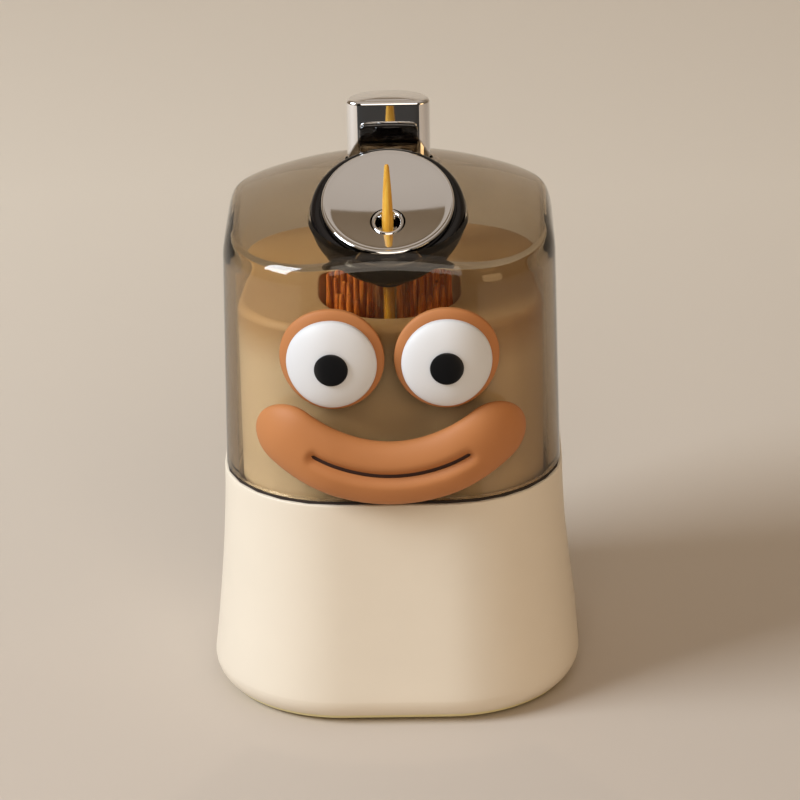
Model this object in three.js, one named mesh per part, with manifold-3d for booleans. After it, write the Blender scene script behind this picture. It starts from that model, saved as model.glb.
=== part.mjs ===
// Toothpick dispenser: a cream base, a smoked clear cover over a cup of toothpicks, a slanted mirror
// dish in the cover's top, and a press knob that works the pick tube.
// Millimetres, +Z up, front towards -Y. The origin lies on the table under the middle of the whole object.
import * as THREE from 'three';
import { mergeVertices } from 'three/addons/utils/BufferGeometryUtils.js';
import Module from 'manifold-3d';

const wasm = await Module();
wasm.setup();

// Fits shared by neighbouring pieces
const fit = 0.3;
const seat = 0.06;
const runningFit = 0.5;
const overrun = 4;

// Base
const seamHeight = 46.4;
const seamHalf = 33.4;
const seamCornerRadius = 23;
const flare = 3.3;
const flarePower = 1.6;
const bulgeHeight = 5.5;
const footTuck = 5.7;
const footDrop = 5.5;
const shellBottom = 1.9;
const baseWall = 2.4;
const ledgeDrop = 12.4;
const ledgeThickness = 2;
const ledgeReach = 4.6;
const bossRadius = 3.2;
const bossHeight = 9;
const bossMargin = 8;
const gussetWidth = 2.4;

// Bottom cover, feet, screws and ballast
const flangeInset = 0.5;
const flangeRound = 2.4;
const spigotInset = 3.5;
const spigotRise = 1.6;
const footRadius = 4.2;
const footHeight = 0.9;
const footEdge = 0.25;
const footPocketDepth = 0.5;
const footMargin = 14.3;
const screwShaftRadius = 1.3;
const screwShaftLength = 8;
const screwHeadRadius = 2.5;
const screwHeadHeight = 1.2;
const screwSlotWidth = 0.7;
const screwSlotDepth = 0.6;
const ballastMargin = 1.6;
const ballastThickness = 4;
const ballastEdge = 0.8;

// Cover
const coverWall = 2.2;
const coverInset = 0.4;
const coverDraft = 0.8;
const shoulderRise = 7.8;
const filletWidth = 2.1;
const filletRise = 5.5;
const innerFilletWidth = 0.5;
const domeRise = 7.7;
const domeReach = 33.6;
const domeLag = 1.5;
const sealThickness = 0.5;
const sealWidth = 1.9;
const collarWall = 1.2;
const collarDrop = 5.1;

// Toothpick cup
const wellClearance = 5.44;
const cupGap = 1.1;
const cupWall = 1.8;
const cupEdgeRadius = 1.6;
const wellRadius = 13.7;
const wellMargin = 5;
const wellWall = 1.6;
const wellDepth = 64;
const wellFloorThickness = 1.9;

// Slanted dish in the cover's top
const dishLead = 3.2;
const dishDrop = 1.2;
const dishSlope = 0.46;
const mirrorRadius = 12.8;
const mirrorThickness = 1.4;
const mirrorDish = 0.5;
const mirrorRim = 0.8;
const dishRadius = 14.9;
const dishRingDrop = 0.9;
const dishRingRound = 1.2;
const dishFlank = 3.4;
const dishFlankRound = 4.3;
const dishDepth = 6.8;
const dishHoleRadius = 2.4;
const bushWall = 0.7;
const bushRise = 0.25;

// Knob, stem and carriage
const knobLag = 23;
const knobHalf = 8.2;
const knobBack = 6;
const knobCorner = 2.4;
const knobLead = 1.6;
const knobRise = 11.7;
const knobSkirt = 16.6;
const knobWall = 1.4;
const knobCrown = 0.5;
const knobEdge = 0.8;
const knobRoof = 1.6;
const stemRadius = 2.2;
const stemEdge = 0.5;
const stemSocketWall = 1.4;
const stemSocketLength = 7;
const stroke = 8;
const boreRadius = 3.9;
const boreWall = 1.4;
const boreDepth = 57;
const bushingLength = 6;
const clipRadius = 3.4;
const clipThickness = 1.2;
const armWidth = 2;
const armHeight = 2.4;
const armSlope = 0.2;
const armHubWall = 1.5;
const tubeHubWall = 0.6;

// Pick tube and sleeve
const pickLead = 8;
const tubeRadius = 4;
const tubeWall = 0.9;
const tubeLength = 31;
const sleeveClearance = 0.5;
const sleeveWall = 0.6;
const sleeveLap = 7.5;
const sleeveSlotWidth = 2.6;
const sleeveSlotHeight = 30;
const gripperLength = 3.6;
const gripLip = 0.8;

// Return spring
const springLength = 19;
const springWire = 0.7;
const springRadius = 2.9;
const springCurls = 11;
const curlSteps = 8;
const wireSides = 5;

// Toothpicks, standing at five levels in turn
const pickRadius = 1.05;
const pickLength = 65;
const pickTaper = 12;
const pickTipRadius = 0.45;
const pickPitch = 2.55;
const pickedRise = 8.9;
const pickStep = 0.5;
const pickLevels = 5;
const pickStride = 3;

// Face on the cover's front
const smileRise = 11;
const smileSpread = 19.5;
const smileSag = 7;
const smileThickness = 6.4;
const smileDepth = 6.2;
const smileLineSpread = 15.5;
const smileGroove = 1.1;
const smileGrooveDepth = 1.8;
const smileLineDepth = 0.9;
const eyeSpread = 10.9;
const eyeGap = 3.9;
const eyeRimRadius = 10;
const eyeRimDepth = 2.6;
const eyeRadius = 8.6;
const eyeDepth = 3.6;
const pupilRadius = 3.2;
const pupilDepth = 0.5;
const eyeRimRoundingShare = 0.4;
const eyeRoundingShare = 0.5;

// Faceting
const cornerSteps = 6;
const roundSteps = 32;
const smallSteps = 16;
const pickSteps = 6;
const flareSteps = 8;
const bendSteps = 6;
const edgeSteps = 4;
const archSteps = 20;
const smileSteps = 18;
const smileSides = 12;
const lineSteps = 14;
const grooveSides = 8;
const lineSides = 6;
const crownShares = [0.8, 0.6, 0.4, 0.2, 0];
const discShares = [0, 0.35, 0.7, 1];
const domeShares = [0.8, 0.5, 0];
const endShares = [0.35, 0.7];

// Levels and sizes that follow from the values above
const cornerCentre = seamHalf - seamCornerRadius;
const bulgeHalf = seamHalf + flare;
const footAngle = Math.asin((bulgeHeight - shellBottom) / footDrop);
const shellBottomHalf = bulgeHalf - footTuck + footTuck * Math.cos(footAngle);
const flangeHalf = shellBottomHalf - flangeInset;
const spigotHalf = shellBottomHalf - spigotInset;
const flangeTop = shellBottom - seat;
const bottomCoverBottom = footHeight - footPocketDepth;
const bottomCoverTop = shellBottom + spigotRise;
const bossBottom = bottomCoverTop + seat;
const bossPlace = spigotHalf - bossMargin;
const footPlace = spigotHalf - footMargin;
const ballastHalf = bossPlace - bossRadius - ballastMargin;
const ledgeHeight = seamHeight - ledgeDrop;
const ledgeTop = ledgeHeight + ledgeThickness;

const coverHalf = seamHalf - coverInset;
const coverTopHalf = coverHalf - coverDraft;
const sealBottom = seamHeight + seat;
const coverBottom = sealBottom + sealThickness + seat;

const wellFloorHeight = bossBottom + bossHeight + wellClearance;
const cupHeight = wellFloorHeight + wellDepth;
const cupHalf = coverHalf - coverWall - cupGap;
const wellPlace = wellRadius + wellMargin - cupHalf;
const insertTop = wellFloorHeight + seat + wellFloorThickness;
const boreFloorHeight = cupHeight - boreDepth;
const bushingTop = cupHeight - fit;
const bushingBottom = bushingTop - bushingLength;

const coverShoulder = cupHeight + shoulderRise;
const domeTop = coverShoulder + filletRise + domeRise;
const dishPlace = wellPlace - dishLead;
const dishHeight = domeTop - dishDrop;
const pickPlace = wellPlace - pickLead;
const pickedTop = dishHeight + pickedRise;

const knobPlace = wellPlace + knobLag;
const knobTop = domeTop + knobRise;
const knobSkirtBottom = knobTop - knobSkirt;
const knobMiddle = knobPlace - knobLead;
const collarBottom = domeTop - collarDrop;
const stemBottom = boreFloorHeight + springLength;
const stemTop = knobTop - knobRoof - knobCrown - seat;

const tubeTop = dishUnderside(pickPlace - tubeRadius) - runningFit;
const tubeBottom = tubeTop - tubeLength;
const sleeveTop = tubeBottom + sleeveLap;
const armFront = pickPlace - tubeRadius - fit - tubeHubWall;
const armLevel = dishUnderside(armFront) - runningFit;
const armLowest = armLevel - armHeight;

const smileHeight = coverBottom + smileRise;
const eyeHeight = smileHeightAt(eyeSpread) + smileThickness + eyeGap + eyeRimRadius;

function dishUnderside(y) {
  return dishHeight - dishDepth + dishSlope * (y - dishPlace);
}

function smileHeightAt(x) {
  return smileHeight - smileSag / 2 + smileSag * (x / smileSpread) ** 2;
}

// Colours
const cream = 0xefe0c4;
const colours = {
  cream: { color: cream, roughness: 0.45, metalness: 0 },
  paleGreenCream: { color: 0xdcd6a6, roughness: 0.5, metalness: 0 },
  rubber: { color: 0x3a3835, roughness: 0.9, metalness: 0 },
  steel: { color: 0xb9bbbd, roughness: 0.35, metalness: 1 },
  chrome: { color: 0xe4e5e6, roughness: 0.06, metalness: 1 },
  black: { color: 0x0c0c0d, roughness: 0.15, metalness: 0 },
  smoked: { color: 0x8c8073, roughness: 0.05, metalness: 0, transparent: true, opacity: 0.35 },
  clear: { color: 0xd8d2b8, roughness: 0.08, metalness: 0, transparent: true, opacity: 0.45 },
  silicone: { color: 0xd9d4c8, roughness: 0.7, metalness: 0 },
  bamboo: { color: 0xc9812f, roughness: 0.6, metalness: 0 },
  orangeBrown: { color: 0xb9713f, roughness: 0.65, metalness: 0 },
  darkBrown: { color: 0x2a1409, roughness: 0.7, metalness: 0 },
  white: { color: 0xe6e6e8, roughness: 0.5, metalness: 0 },
  pupilBlack: { color: 0x090909, roughness: 0.35, metalness: 0 },
};

const dispenser = new THREE.Group();

function addPart(name, geometry, colour) {
  const mesh = new THREE.Mesh(geometry, new THREE.MeshStandardMaterial(colours[colour]));
  mesh.name = name;
  dispenser.add(mesh);
  return mesh;
}

// Closed-surface helpers

function signedVolume(geometry) {
  const p = geometry.attributes.position;
  const index = geometry.index.array;
  const a = new THREE.Vector3();
  const b = new THREE.Vector3();
  const c = new THREE.Vector3();
  let volume = 0;
  for (let i = 0; i < index.length; i += 3) {
    a.fromBufferAttribute(p, index[i]);
    b.fromBufferAttribute(p, index[i + 1]);
    c.fromBufferAttribute(p, index[i + 2]);
    volume += a.dot(b.cross(c)) / 6;
  }
  return volume;
}

function turnOutward(geometry) {
  if (signedVolume(geometry) < 0) {
    const index = geometry.index.array;
    for (let i = 0; i < index.length; i += 3) {
      [index[i + 1], index[i + 2]] = [index[i + 2], index[i + 1]];
    }
  }
  geometry.computeVertexNormals();
  return geometry;
}

// Skin over a list of rings. A ring is a list of points, and a single point closes an end.
function loft(rings, closed = false) {
  const positions = [];
  const starts = [];
  for (const ring of rings) {
    starts.push(positions.length / 3);
    for (const point of ring) positions.push(...point);
  }
  const index = [];
  const joins = closed ? rings.length : rings.length - 1;
  for (let r = 0; r < joins; r++) {
    const next = (r + 1) % rings.length;
    const count = Math.max(rings[r].length, rings[next].length);
    const lower = (i) => starts[r] + (rings[r].length === 1 ? 0 : i % count);
    const upper = (i) => starts[next] + (rings[next].length === 1 ? 0 : i % count);
    for (let i = 0; i < count; i++) {
      if (rings[r].length > 1) index.push(lower(i), lower(i + 1), upper(i));
      if (rings[next].length > 1) index.push(upper(i), lower(i + 1), upper(i + 1));
    }
  }
  const geometry = new THREE.BufferGeometry();
  geometry.setAttribute('position', new THREE.Float32BufferAttribute(positions, 3));
  geometry.setIndex(index);
  return turnOutward(geometry);
}

function circleRing(radius, z, place, steps) {
  if (radius === 0) return [[0, place, z]];
  return Array.from({ length: steps }, (_, i) => {
    const angle = (2 * Math.PI * i) / steps;
    return [radius * Math.cos(angle), place + radius * Math.sin(angle), z];
  });
}

// Corners keep one centre as a wall steps in, until the ring is small
function cornerRadiusAt(half) {
  const smallHalf = 2 * cornerCentre;
  return half > smallHalf ? half - cornerCentre : half / 2;
}

function squareRing(half, z) {
  if (half === 0) return [[0, 0, z]];
  const radius = cornerRadiusAt(half);
  const centre = half - radius;
  const ring = [];
  for (let corner = 0; corner < 4; corner++) {
    const start = (corner * Math.PI) / 2;
    const sx = corner === 0 || corner === 3 ? 1 : -1;
    const sy = corner < 2 ? 1 : -1;
    for (let i = 0; i <= cornerSteps; i++) {
      const angle = start + (i * Math.PI) / (2 * cornerSteps);
      ring.push([sx * centre + radius * Math.cos(angle), sy * centre + radius * Math.sin(angle), z]);
    }
  }
  return ring;
}

// An arch in plan: a straight front with rounded corners and a bowed back
function archRing(grow, z) {
  const half = knobHalf + grow;
  const corner = knobCorner + grow;
  const ring = [];
  for (let i = 1; i < archSteps; i++) {
    const angle = (i * Math.PI) / archSteps;
    ring.push([half * Math.cos(angle), knobMiddle + (knobBack + grow) * Math.sin(angle), z]);
  }
  for (const side of [-1, 1]) {
    const start = side < 0 ? Math.PI : -Math.PI / 2;
    for (let i = 0; i <= edgeSteps; i++) {
      const angle = start + (i * Math.PI) / (2 * edgeSteps);
      const x = side * (half - corner) + corner * Math.cos(angle);
      ring.push([x, knobMiddle + corner * Math.sin(angle), z]);
    }
  }
  return ring;
}

// Rows of [how much wider than the knob, height]; a null width closes the form at its middle
function archLoft(profile) {
  return loft(profile.map(([grow, z]) => (grow === null ? [[0, knobMiddle, z]] : archRing(grow, z))));
}

function archRod(grow, bottom, top) {
  return archLoft([[null, bottom], [grow, bottom], [grow, top], [null, top]]);
}

function squareLoft(profile, closed = false) {
  return loft(profile.map(([half, z]) => squareRing(half, z)), closed);
}

function revolve(profile, place, closed = false, steps = roundSteps) {
  return loft(profile.map(([radius, z]) => circleRing(radius, z, place, steps)), closed);
}

function tubeSolid(outer, inner, bottom, top, place, steps = roundSteps) {
  return revolve([[inner, bottom], [outer, bottom], [outer, top], [inner, top]], place, true, steps);
}

function rod(radius, bottom, top, place, steps = smallSteps) {
  return revolve([[0, bottom], [radius, bottom], [radius, top], [0, top]], place, false, steps);
}

function block(width, depth, bottom, top, x, y) {
  const geometry = new THREE.BoxGeometry(width, depth, top - bottom);
  return geometry.translate(x, y, (bottom + top) / 2);
}

function arc(centreHalf, centreZ, radiusHalf, radiusZ, from, to, steps) {
  return Array.from({ length: steps + 1 }, (_, i) => {
    const angle = from + ((to - from) * i) / steps;
    return [centreHalf + radiusHalf * Math.cos(angle), centreZ + radiusZ * Math.sin(angle)];
  });
}

// Lifts what lies behind a place and lowers what lies before it
function slant(geometry, slope = dishSlope, place = dishPlace) {
  const p = geometry.attributes.position;
  for (let i = 0; i < p.count; i++) {
    p.setZ(i, p.getZ(i) + slope * (p.getY(i) - place));
  }
  geometry.computeVertexNormals();
  return geometry;
}

// Joins and cuts

function toSolid(source) {
  let geometry = source.clone();
  geometry.deleteAttribute('normal');
  geometry.deleteAttribute('uv');
  geometry = mergeVertices(geometry);
  return new wasm.Manifold(new wasm.Mesh({
    numProp: 3,
    vertProperties: new Float32Array(geometry.attributes.position.array),
    triVerts: new Uint32Array(geometry.index.array),
  }));
}

function fromSolid(solid) {
  const mesh = solid.getMesh();
  const geometry = new THREE.BufferGeometry();
  geometry.setAttribute('position', new THREE.BufferAttribute(mesh.vertProperties, 3));
  geometry.setIndex(new THREE.BufferAttribute(mesh.triVerts, 1));
  geometry.computeVertexNormals();
  return geometry;
}

function shape(body, { add = [], cut = [] }) {
  let solid = toSolid(body);
  for (const piece of add) solid = solid.add(toSolid(piece));
  for (const piece of cut) solid = solid.subtract(toSolid(piece));
  return fromSolid(solid);
}

// Base and what closes it from below

const screwPlaces = [[bossPlace, 0], [0, bossPlace], [-bossPlace, 0], [0, -bossPlace]];
const screwNames = ['right', 'rear', 'left', 'front'];

function baseHalfAt(z) {
  const share = (seamHeight - z) / (seamHeight - bulgeHeight);
  return seamHalf + flare * share ** flarePower;
}

function baseShell() {
  const mouthHalf = seamHalf - baseWall;
  const bottomHalf = spigotHalf + fit;
  const outer = [];
  for (let i = 0; i < flareSteps; i++) {
    const z = seamHeight + ((bulgeHeight - seamHeight) * i) / flareSteps;
    outer.push([baseHalfAt(z), z]);
  }
  const under = arc(bulgeHalf - footTuck, bulgeHeight, footTuck, footDrop, 0, -footAngle, bendSteps);
  const inside = [
    [bottomHalf, shellBottom],
    [bottomHalf, bottomCoverTop + seat],
    [bulgeHalf - baseWall - fit, bulgeHeight + baseWall],
    [baseHalfAt(ledgeHeight) - baseWall, ledgeHeight - ledgeReach],
    [mouthHalf - ledgeReach, ledgeHeight],
    [mouthHalf - ledgeReach, ledgeTop],
    [mouthHalf, ledgeTop],
    [mouthHalf, seamHeight],
  ];
  const shell = squareLoft([...outer, ...under, ...inside], true);
  const add = [];
  const cut = [];
  const holeTop = bossBottom + screwShaftLength;
  const gussetEnd = bulgeHalf - baseWall / 2;
  const reach = gussetEnd - bossPlace;
  const middle = (gussetEnd + bossPlace) / 2;
  for (const [x, y] of screwPlaces) {
    const boss = rod(bossRadius, bossBottom, bossBottom + bossHeight, y).translate(x, 0, 0);
    const along = x === 0;
    const gusset = block(
      along ? gussetWidth : reach, along ? reach : gussetWidth,
      bossBottom, bossBottom + bossHeight, Math.sign(x) * middle, Math.sign(y) * middle,
    );
    add.push(boss, gusset);
    cut.push(rod(screwShaftRadius + fit, bossBottom - overrun, holeTop, y).translate(x, 0, 0));
  }
  return shape(shell, { add, cut });
}

// A plate whose rounded rim shows below the shell and whose raised middle centres it
function bottomCover() {
  const rimDepth = flangeTop - bottomCoverBottom;
  const plate = squareLoft([
    [0, bottomCoverBottom],
    ...arc(flangeHalf - flangeRound, flangeTop, flangeRound, rimDepth, -Math.PI / 2, 0, edgeSteps),
    [spigotHalf, flangeTop],
    [spigotHalf, bottomCoverTop],
    [0, bottomCoverTop],
  ]);
  const cut = [];
  for (const sx of [-1, 1]) {
    for (const y of [-footPlace, footPlace]) {
      const pocketTop = bottomCoverBottom + footPocketDepth;
      const pocket = rod(footRadius + fit, bottomCoverBottom - overrun, pocketTop, y);
      cut.push(pocket.translate(sx * footPlace, 0, 0));
    }
  }
  for (const [x, y] of screwPlaces) {
    const start = bottomCoverBottom - overrun;
    const headTop = bottomCoverBottom + screwHeadHeight;
    cut.push(rod(screwShaftRadius + fit, start, bottomCoverTop + overrun, y).translate(x, 0, 0));
    cut.push(rod(screwHeadRadius + fit, start, headTop, y).translate(x, 0, 0));
  }
  return shape(plate, { cut });
}

function bottomScrew(x, y) {
  const headBottom = bottomCoverBottom + seat;
  const headTop = bottomCoverBottom + screwHeadHeight - seat;
  const shaftTop = bossBottom + screwShaftLength - fit;
  const screw = revolve([
    [0, headBottom], [screwHeadRadius, headBottom], [screwHeadRadius, headTop],
    [screwShaftRadius, headTop], [screwShaftRadius, shaftTop], [0, shaftTop],
  ], y, false, smallSteps).translate(x, 0, 0);
  const slotTop = headBottom + screwSlotDepth;
  const slot = block(3 * screwHeadRadius, screwSlotWidth, headBottom - overrun, slotTop, x, y);
  return shape(screw, { cut: [slot] });
}

function foot(x, y) {
  const top = footHeight - seat;
  const rim = [[footRadius - footEdge, 0], [footRadius, footEdge], [footRadius, top]];
  const profile = [[0, 0], ...rim, [0, top]];
  return revolve(profile, y, false, smallSteps).translate(x, 0, 0);
}

function ballastPlate() {
  const bottom = bottomCoverTop + seat;
  const top = bottom + ballastThickness;
  return squareLoft([
    [0, bottom], [ballastHalf - ballastEdge, bottom], [ballastHalf, bottom + ballastEdge],
    [ballastHalf, top - ballastEdge], [ballastHalf - ballastEdge, top], [0, top],
  ]);
}

addPart('base_shell', baseShell(), 'cream');
addPart('bottom_cover', bottomCover(), 'paleGreenCream');
screwPlaces.forEach(([x, y], i) => addPart(`bottom_screw_${screwNames[i]}`, bottomScrew(x, y), 'steel'));
addPart('foot_front_left', foot(-footPlace, -footPlace), 'rubber');
addPart('foot_front_right', foot(footPlace, -footPlace), 'rubber');
addPart('foot_rear_left', foot(-footPlace, footPlace), 'rubber');
addPart('foot_rear_right', foot(footPlace, footPlace), 'rubber');
addPart('ballast_plate', ballastPlate(), 'steel');

// Cup with its well and the bore behind it

function toothpickCup() {
  const bottom = ledgeTop + seat;
  const innerHalf = cupHalf - cupWall;
  const deckBottom = cupHeight - cupWall;
  const skirt = squareLoft([
    [0, cupHeight],
    ...arc(cupHalf - cupEdgeRadius, cupHeight - cupEdgeRadius, cupEdgeRadius, cupEdgeRadius,
      Math.PI / 2, 0, edgeSteps),
    [cupHalf, bottom],
    [innerHalf, bottom],
    [innerHalf, deckBottom],
    [0, deckBottom],
  ]);
  const wellOuter = wellRadius + wellWall;
  const boreOuter = boreRadius + boreWall;
  const wellBottom = wellFloorHeight - wellWall;
  const boreBottom = boreFloorHeight - boreWall;
  return shape(skirt, {
    add: [
      rod(wellOuter, wellBottom, deckBottom + cupWall / 2, wellPlace, roundSteps),
      rod(boreOuter, boreBottom, deckBottom + cupWall / 2, knobPlace, roundSteps),
    ],
    cut: [
      rod(wellRadius, wellFloorHeight, cupHeight + overrun, wellPlace, roundSteps),
      rod(boreRadius, boreFloorHeight, cupHeight + overrun, knobPlace, roundSteps),
    ],
  });
}

function wellFloor() {
  const bottom = wellFloorHeight + seat;
  const radius = wellRadius - fit;
  const plate = rod(radius, bottom, insertTop, wellPlace, roundSteps);
  const drain = rod(pickRadius, bottom - overrun, insertTop + overrun, pickPlace);
  return shape(plate, { cut: [drain] });
}

function feedSleeve() {
  const inner = tubeRadius + sleeveClearance;
  const outer = inner + sleeveWall;
  const bottom = insertTop + seat;
  const sleeve = tubeSolid(outer, inner, bottom, sleeveTop, pickPlace);
  const slots = [-1, 1].map((side) => block(
    2 * outer, sleeveSlotWidth, bottom + sleeveWall, bottom + sleeveSlotHeight, side * outer, pickPlace,
  ));
  return shape(sleeve, { cut: slots });
}

function stemBushing() {
  return tubeSolid(boreRadius - fit, stemRadius + fit, bushingBottom, bushingTop, knobPlace);
}

// Toothpicks

function toothpick(bottom) {
  const top = bottom + pickLength;
  return [
    [0, bottom], [pickTipRadius, bottom], [pickRadius, bottom + pickTaper],
    [pickRadius, top - pickTaper], [pickTipRadius, top], [0, top],
  ];
}

// The picks stand so close that they are one block with their tops free
function toothpickBundle() {
  const sleeveOuter = tubeRadius + sleeveClearance + sleeveWall;
  const armLane = armWidth / 2 + runningFit;
  const bottom = insertTop + seat;
  const blockTop = bottom + pickLength - pickTaper;
  const laneReach = knobPlace - pickPlace;
  const body = shape(rod(wellRadius - fit, bottom, blockTop, wellPlace, roundSteps), {
    cut: [
      rod(sleeveOuter + fit, bottom - overrun, blockTop + overrun, pickPlace, roundSteps),
      block(2 * armLane, laneReach, armLowest - stroke - runningFit, blockTop + overrun,
        0, pickPlace + laneReach / 2),
    ],
  });
  const limit = wellRadius - fit - pickRadius;
  const rows = Math.ceil(wellRadius / pickPitch) + 1;
  const picks = [];
  for (let row = -rows; row <= rows; row++) {
    for (let column = -rows; column <= rows; column++) {
      const x = (column + (Math.abs(row) % 2) / 2) * pickPitch;
      const y = wellPlace + row * pickPitch * Math.sin(Math.PI / 3);
      const clearOfSleeve = Math.hypot(x, y - pickPlace) > sleeveOuter + pickRadius + fit;
      const clearOfArm = Math.abs(x) > armLane + pickRadius || y < pickPlace;
      if (Math.hypot(x, y - wellPlace) < limit && clearOfSleeve && clearOfArm) {
        const sunk = pickStep * ((picks.length * pickStride) % pickLevels);
        const top = bottom + pickLength - sunk;
        picks.push(revolve([
          [0, blockTop - pickTaper], [pickRadius, blockTop - pickTaper], [pickRadius, top - pickTaper],
          [pickTipRadius, top], [0, top],
        ], y, false, pickSteps).translate(x, 0, 0));
      }
    }
  }
  return shape(body, { add: picks });
}

addPart('toothpick_cup', toothpickCup(), 'cream');
addPart('well_floor', wellFloor(), 'cream');
addPart('feed_sleeve', feedSleeve(), 'clear');
addPart('stem_bushing', stemBushing(), 'black');
addPart('toothpick_bundle', toothpickBundle(), 'bamboo');

// Cover

function domeLift(x, y) {
  return domeRise * (1 - (x ** 2 + (y - domeLag) ** 2) / domeReach ** 2);
}

// The whole form that a wall's outer or inner face closes in; its top bulges over the rounded rim
function coverForm(inset, rimWidth, bottom) {
  const rimRise = filletRise - inset;
  const corner = coverTopHalf - inset - rimWidth;
  const rim = arc(corner, coverShoulder, rimWidth, rimRise, 0, Math.PI / 2, edgeSteps);
  const crown = crownShares.map((share) => [share * corner, coverShoulder + rimRise]);
  const profile = [[0, bottom], [coverHalf - inset, bottom], ...rim, ...crown];
  return loft(profile.map(([half, z]) => squareRing(half, z).map(([x, y]) => {
    const liftShare = Math.max(z - coverShoulder, 0) / rimRise;
    return [x, y, z + liftShare * domeLift(x, y)];
  })));
}

function cover() {
  const under = coverShoulder - overrun;
  const top = domeTop + overrun;
  const collar = archRod(runningFit + collarWall, collarBottom, top);
  const inside = coverForm(coverWall, innerFilletWidth, coverBottom - overrun);
  return shape(coverForm(0, filletWidth, coverBottom), {
    cut: [
      shape(inside, { cut: [collar] }),
      rod(dishRadius + fit, under, top, dishPlace, roundSteps),
      archRod(runningFit, under, top),
    ],
  });
}

function coverSeal() {
  const outer = coverHalf;
  const inner = coverHalf - sealWidth;
  const top = sealBottom + sealThickness;
  return squareLoft([[inner, sealBottom], [outer, sealBottom], [outer, top], [inner, top]], true);
}

// Dish with its mirror

function dishBody() {
  const level = (drop) => dishHeight - drop;
  const mirrorSeat = level(mirrorThickness + seat);
  const recess = mirrorRadius + fit;
  const ringTop = level(dishRingDrop + dishRingRound);
  const body = slant(revolve([
    [0, mirrorSeat],
    [recess, mirrorSeat],
    [recess, level(dishRingDrop)],
    ...arc(dishRadius - dishRingRound, ringTop, dishRingRound, dishRingRound, Math.PI / 2, 0, edgeSteps),
    ...arc(dishRadius - dishFlankRound, level(dishFlank), dishFlankRound, dishDepth - dishFlank,
      0, -Math.PI / 2, edgeSteps),
    [0, level(dishDepth)],
  ], dishPlace));
  return shape(body, {
    cut: [rod(dishHoleRadius + bushWall + fit, tubeTop - overrun, knobTop, pickPlace)],
  });
}

function mirrorPlate() {
  const level = (drop) => dishHeight - drop;
  const plate = slant(revolve([
    [0, level(mirrorDish)],
    [mirrorRadius / 2, level(mirrorDish)],
    [mirrorRadius - mirrorRim, level(mirrorDish / 2)],
    [mirrorRadius - mirrorRim / 2, level(0)],
    [mirrorRadius, level(mirrorRim / 2)],
    [mirrorRadius, level(mirrorThickness)],
    [0, level(mirrorThickness)],
  ], dishPlace));
  return shape(plate, {
    cut: [rod(dishHoleRadius + bushWall + fit, tubeTop, knobTop, pickPlace)],
  });
}

function holeBush() {
  const face = dishHeight - mirrorDish;
  const outer = dishHoleRadius + bushWall;
  return slant(revolve([
    [dishHoleRadius, face - dishDepth + mirrorDish + bushWall],
    [outer, face - dishDepth + mirrorDish + bushWall],
    [outer, face],
    [outer - bushRise, face + bushRise],
    [dishHoleRadius, face - bushRise],
  ], pickPlace, true));
}

addPart('cover', cover(), 'smoked');
addPart('cover_seal', coverSeal(), 'black');
addPart('dish_body', dishBody(), 'black');
addPart('mirror_plate', mirrorPlate(), 'chrome');
addPart('hole_bush', holeBush(), 'chrome');

// Knob, stem and carriage: one moving set

function knob() {
  const roof = knobTop - knobCrown - knobRoof;
  const rimTop = knobTop - knobCrown - knobEdge;
  const edge = arc(-knobEdge, rimTop, knobEdge, knobEdge, 0, Math.PI / 2, edgeSteps);
  const body = archLoft([[null, knobSkirtBottom], [0, knobSkirtBottom], ...edge, [null, knobTop]]);
  const hollow = archRod(-knobWall, knobSkirtBottom - overrun, roof);
  const socketOuter = stemRadius + fit + stemSocketWall;
  const socket = rod(socketOuter, stemTop - stemSocketLength, knobTop - knobCrown, knobPlace);
  return shape(body, {
    cut: [
      shape(hollow, { cut: [socket] }),
      rod(stemRadius + fit, knobSkirtBottom - overrun, stemTop + seat, knobPlace),
    ],
  });
}

function knobStem() {
  return revolve([
    [0, stemBottom], [stemRadius - stemEdge, stemBottom], [stemRadius, stemBottom + stemEdge],
    [stemRadius, stemTop - stemEdge], [stemRadius - stemEdge, stemTop], [0, stemTop],
  ], knobPlace, false, smallSteps);
}

// The arm climbs from the tube under the dish to the stem under the cover's dome
function carriageArm() {
  const tubeHub = tubeRadius + fit;
  const stemHub = stemRadius + fit;
  const reach = knobPlace - pickPlace;
  const arm = shape(block(armWidth, reach, armLowest, armLevel, 0, (knobPlace + pickPlace) / 2), {
    add: [
      rod(tubeHub + tubeHubWall, armLowest, armLevel, pickPlace, roundSteps),
      rod(stemHub + armHubWall, armLowest, armLevel, knobPlace),
    ],
  });
  return shape(slant(arm, armSlope, armFront), {
    cut: [
      rod(tubeHub, tubeBottom, knobTop, pickPlace, roundSteps),
      rod(stemHub, tubeBottom, knobTop, knobPlace),
    ],
  });
}

function guideTube() {
  return tubeSolid(tubeRadius, tubeRadius - tubeWall, tubeBottom, tubeTop, pickPlace);
}

function pickGripper() {
  const outer = tubeRadius - tubeWall - fit;
  const bottom = tubeBottom + fit;
  const top = bottom + gripperLength;
  return revolve([
    [outer, bottom],
    [outer, top],
    [outer - gripLip, top],
    [pickRadius + fit, (bottom + top) / 2],
    [outer - gripLip, bottom],
  ], pickPlace, true);
}

function stemClip() {
  const top = bushingBottom - seat;
  return tubeSolid(clipRadius, stemRadius + fit, top - clipThickness, top, knobPlace, smallSteps);
}

function dispensedToothpick() {
  return revolve(toothpick(pickedTop - pickLength), pickPlace, false, pickSteps);
}

for (const [name, geometry, colour] of [
  ['knob', knob(), 'chrome'],
  ['knob_stem', knobStem(), 'steel'],
  ['carriage_arm', carriageArm(), 'black'],
  ['guide_tube', guideTube(), 'clear'],
  ['pick_gripper', pickGripper(), 'silicone'],
  ['stem_clip', stemClip(), 'steel'],
  ['dispensed_toothpick', dispensedToothpick(), 'bamboo'],
]) addPart(name, geometry, colour);

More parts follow.
